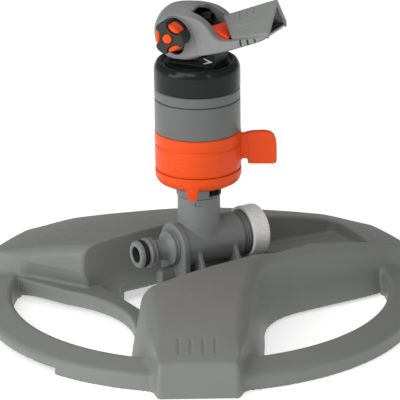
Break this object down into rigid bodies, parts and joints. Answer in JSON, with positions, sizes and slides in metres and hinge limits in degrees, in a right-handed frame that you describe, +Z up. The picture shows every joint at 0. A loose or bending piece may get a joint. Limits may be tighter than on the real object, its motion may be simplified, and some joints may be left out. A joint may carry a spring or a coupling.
{
  "type": "turbine sprinkler",
  "caption": "Turbine garden sprinkler: a rotating grey column with a jet head and orange adjusters, on a moulded ring sled with a hose nipple.",
  "frame": {"origin": "middle of the sled's bounds, at the ground; the column's axis stands 4.5 mm behind it, at y = +0.0045", "axes": "+Z up along the column; the front leg's heel points to -Y; the hose nipple points to azimuth -150 degrees, and the jet to azimuth -27 degrees"},
  "size_m": [0.2648, 0.2689, 0.2036],
  "materials": {
    "sled_grey": "satin moulded, fine grain",
    "column_grey": "satin moulded",
    "head_grey": "satin moulded",
    "dark_grey": "satin moulded",
    "light_grey": "satin moulded",
    "black": "satin moulded",
    "gloss_black": "polished moulding",
    "orange": "satin to gloss",
    "natural_acetal": "natural",
    "seal_rubber": "matt",
    "steel": "turned"
  },
  "bodies": {
    "base": {"base_sled": "sled_grey", "tee_body": "column_grey", "hose_nipple": "column_grey", "nipple_o_ring": "seal_rubber", "inlet_sieve": "light_grey", "tee_screw_1": "steel", "tee_screw_2": "steel", "neck_collar": "column_grey", "neck_seal": "seal_rubber", "inlet_stator": "dark_grey", "axle_pin": "steel", "fixed_sun_gear": "black"},
    "seal": {"cap_seal": "seal_rubber"},
    "cap": {"end_cap": "light_grey"},
    "lever": {"trip_lever": "black"},
    "turret": {"turret_housing": "column_grey", "band_ring": "column_grey", "top_collar": "gloss_black", "housing_o_ring": "seal_rubber", "gear_case": "dark_grey", "gear_case_lid": "dark_grey", "gear_post": "steel", "head_body": "black", "head_clip": "light_grey", "head_shell": "head_grey", "nozzle_tube": "black", "breaker_pin": "steel", "deflector_pin": "steel"},
    "turbine": {"turbine_wheel": "orange"},
    "idler_low": {"idler_gear_low": "natural_acetal"},
    "middle_gear": {"axle_gear": "natural_acetal"},
    "idler_high": {"idler_gear_high": "natural_acetal"},
    "upper_stop": {"sector_ring_upper": "orange"},
    "lower_stop": {"sector_ring_lower": "orange"},
    "selector": {"nozzle_selector": "black", "selector_insert_1": "orange", "selector_insert_2": "orange", "selector_insert_3": "orange", "selector_cap": "orange"},
    "breaker": {"jet_breaker": "orange"},
    "deflector": {"jet_deflector": "head_grey"}
  },
  "joints": [
    {"name": "turret_spin", "type": "hinge", "parent": "base", "child": "turret", "pos_m": [0, 0.0045, 0.088], "axis": [0, 0, 1], "continuous": true},
    {"name": "idler_high_spin", "type": "hinge", "parent": "turret", "child": "idler_high", "pos_m": [0.00495, 0.01307, 0.12], "axis": [0, 0, 1], "continuous": true},
    {"name": "middle_gear_spin", "type": "hinge", "parent": "turret", "child": "middle_gear", "pos_m": [0, 0.0045, 0.115], "axis": [0, 0, 1], "continuous": true},
    {"name": "idler_low_spin", "type": "hinge", "parent": "turret", "child": "idler_low", "pos_m": [0.00495, 0.01307, 0.11], "axis": [0, 0, 1], "continuous": true},
    {"name": "turbine_spin", "type": "hinge", "parent": "turret", "child": "turbine", "pos_m": [0, 0.0045, 0.101], "axis": [0, 0, 1], "continuous": true},
    {"name": "upper_stop_turn", "type": "hinge", "parent": "turret", "child": "upper_stop", "pos_m": [0, 0.0045, 0.104], "axis": [0, 0, 1], "range_deg": [-170, 170]},
    {"name": "lower_stop_turn", "type": "hinge", "parent": "turret", "child": "lower_stop", "pos_m": [0, 0.0045, 0.088], "axis": [0, 0, 1], "range_deg": [-170, 170]},
    {"name": "trip_lever_turn", "type": "hinge", "parent": "base", "child": "lever", "pos_m": [0, 0.0045, 0.079], "axis": [0, 0, 1], "range_deg": [-10, 10]},
    {"name": "selector_turn", "type": "hinge", "parent": "turret", "child": "selector", "pos_m": [-0.00463, 0.00686, 0.1794], "axis": [-0.454, -0.891, 0], "range_deg": [-120, 120]},
    {"name": "breaker_tilt", "type": "hinge", "parent": "turret", "child": "breaker", "pos_m": [0.02067, -0.00603, 0.1764], "axis": [0.454, 0.891, 0], "range_deg": [0, 10]},
    {"name": "deflector_tilt", "type": "hinge", "parent": "turret", "child": "deflector", "pos_m": [0.02762, -0.00957, 0.1775], "axis": [-0.454, -0.891, 0], "range_deg": [0, 6]},
    {"name": "cap_travel", "type": "slide", "parent": "base", "child": "seal", "axis": [0.866, 0.5, 0], "range_m": [0, 0.00907]},
    {"name": "cap_turn", "type": "hinge", "parent": "seal", "child": "cap", "pos_m": [0, 0.0045, 0.0448], "axis": [0.866, 0.5, 0], "range_deg": [0, 1800]}
  ],
  "couplings": [
    {"joint": "idler_high_spin", "follows": "turret_spin", "ratio": 3},
    {"joint": "middle_gear_spin", "follows": "turret_spin", "ratio": -9},
    {"joint": "idler_low_spin", "follows": "turret_spin", "ratio": 27},
    {"joint": "turbine_spin", "follows": "turret_spin", "ratio": -81},
    {"joint": "cap_turn", "follows": "cap_travel", "rad_per_m": 3463.7}
  ]
}
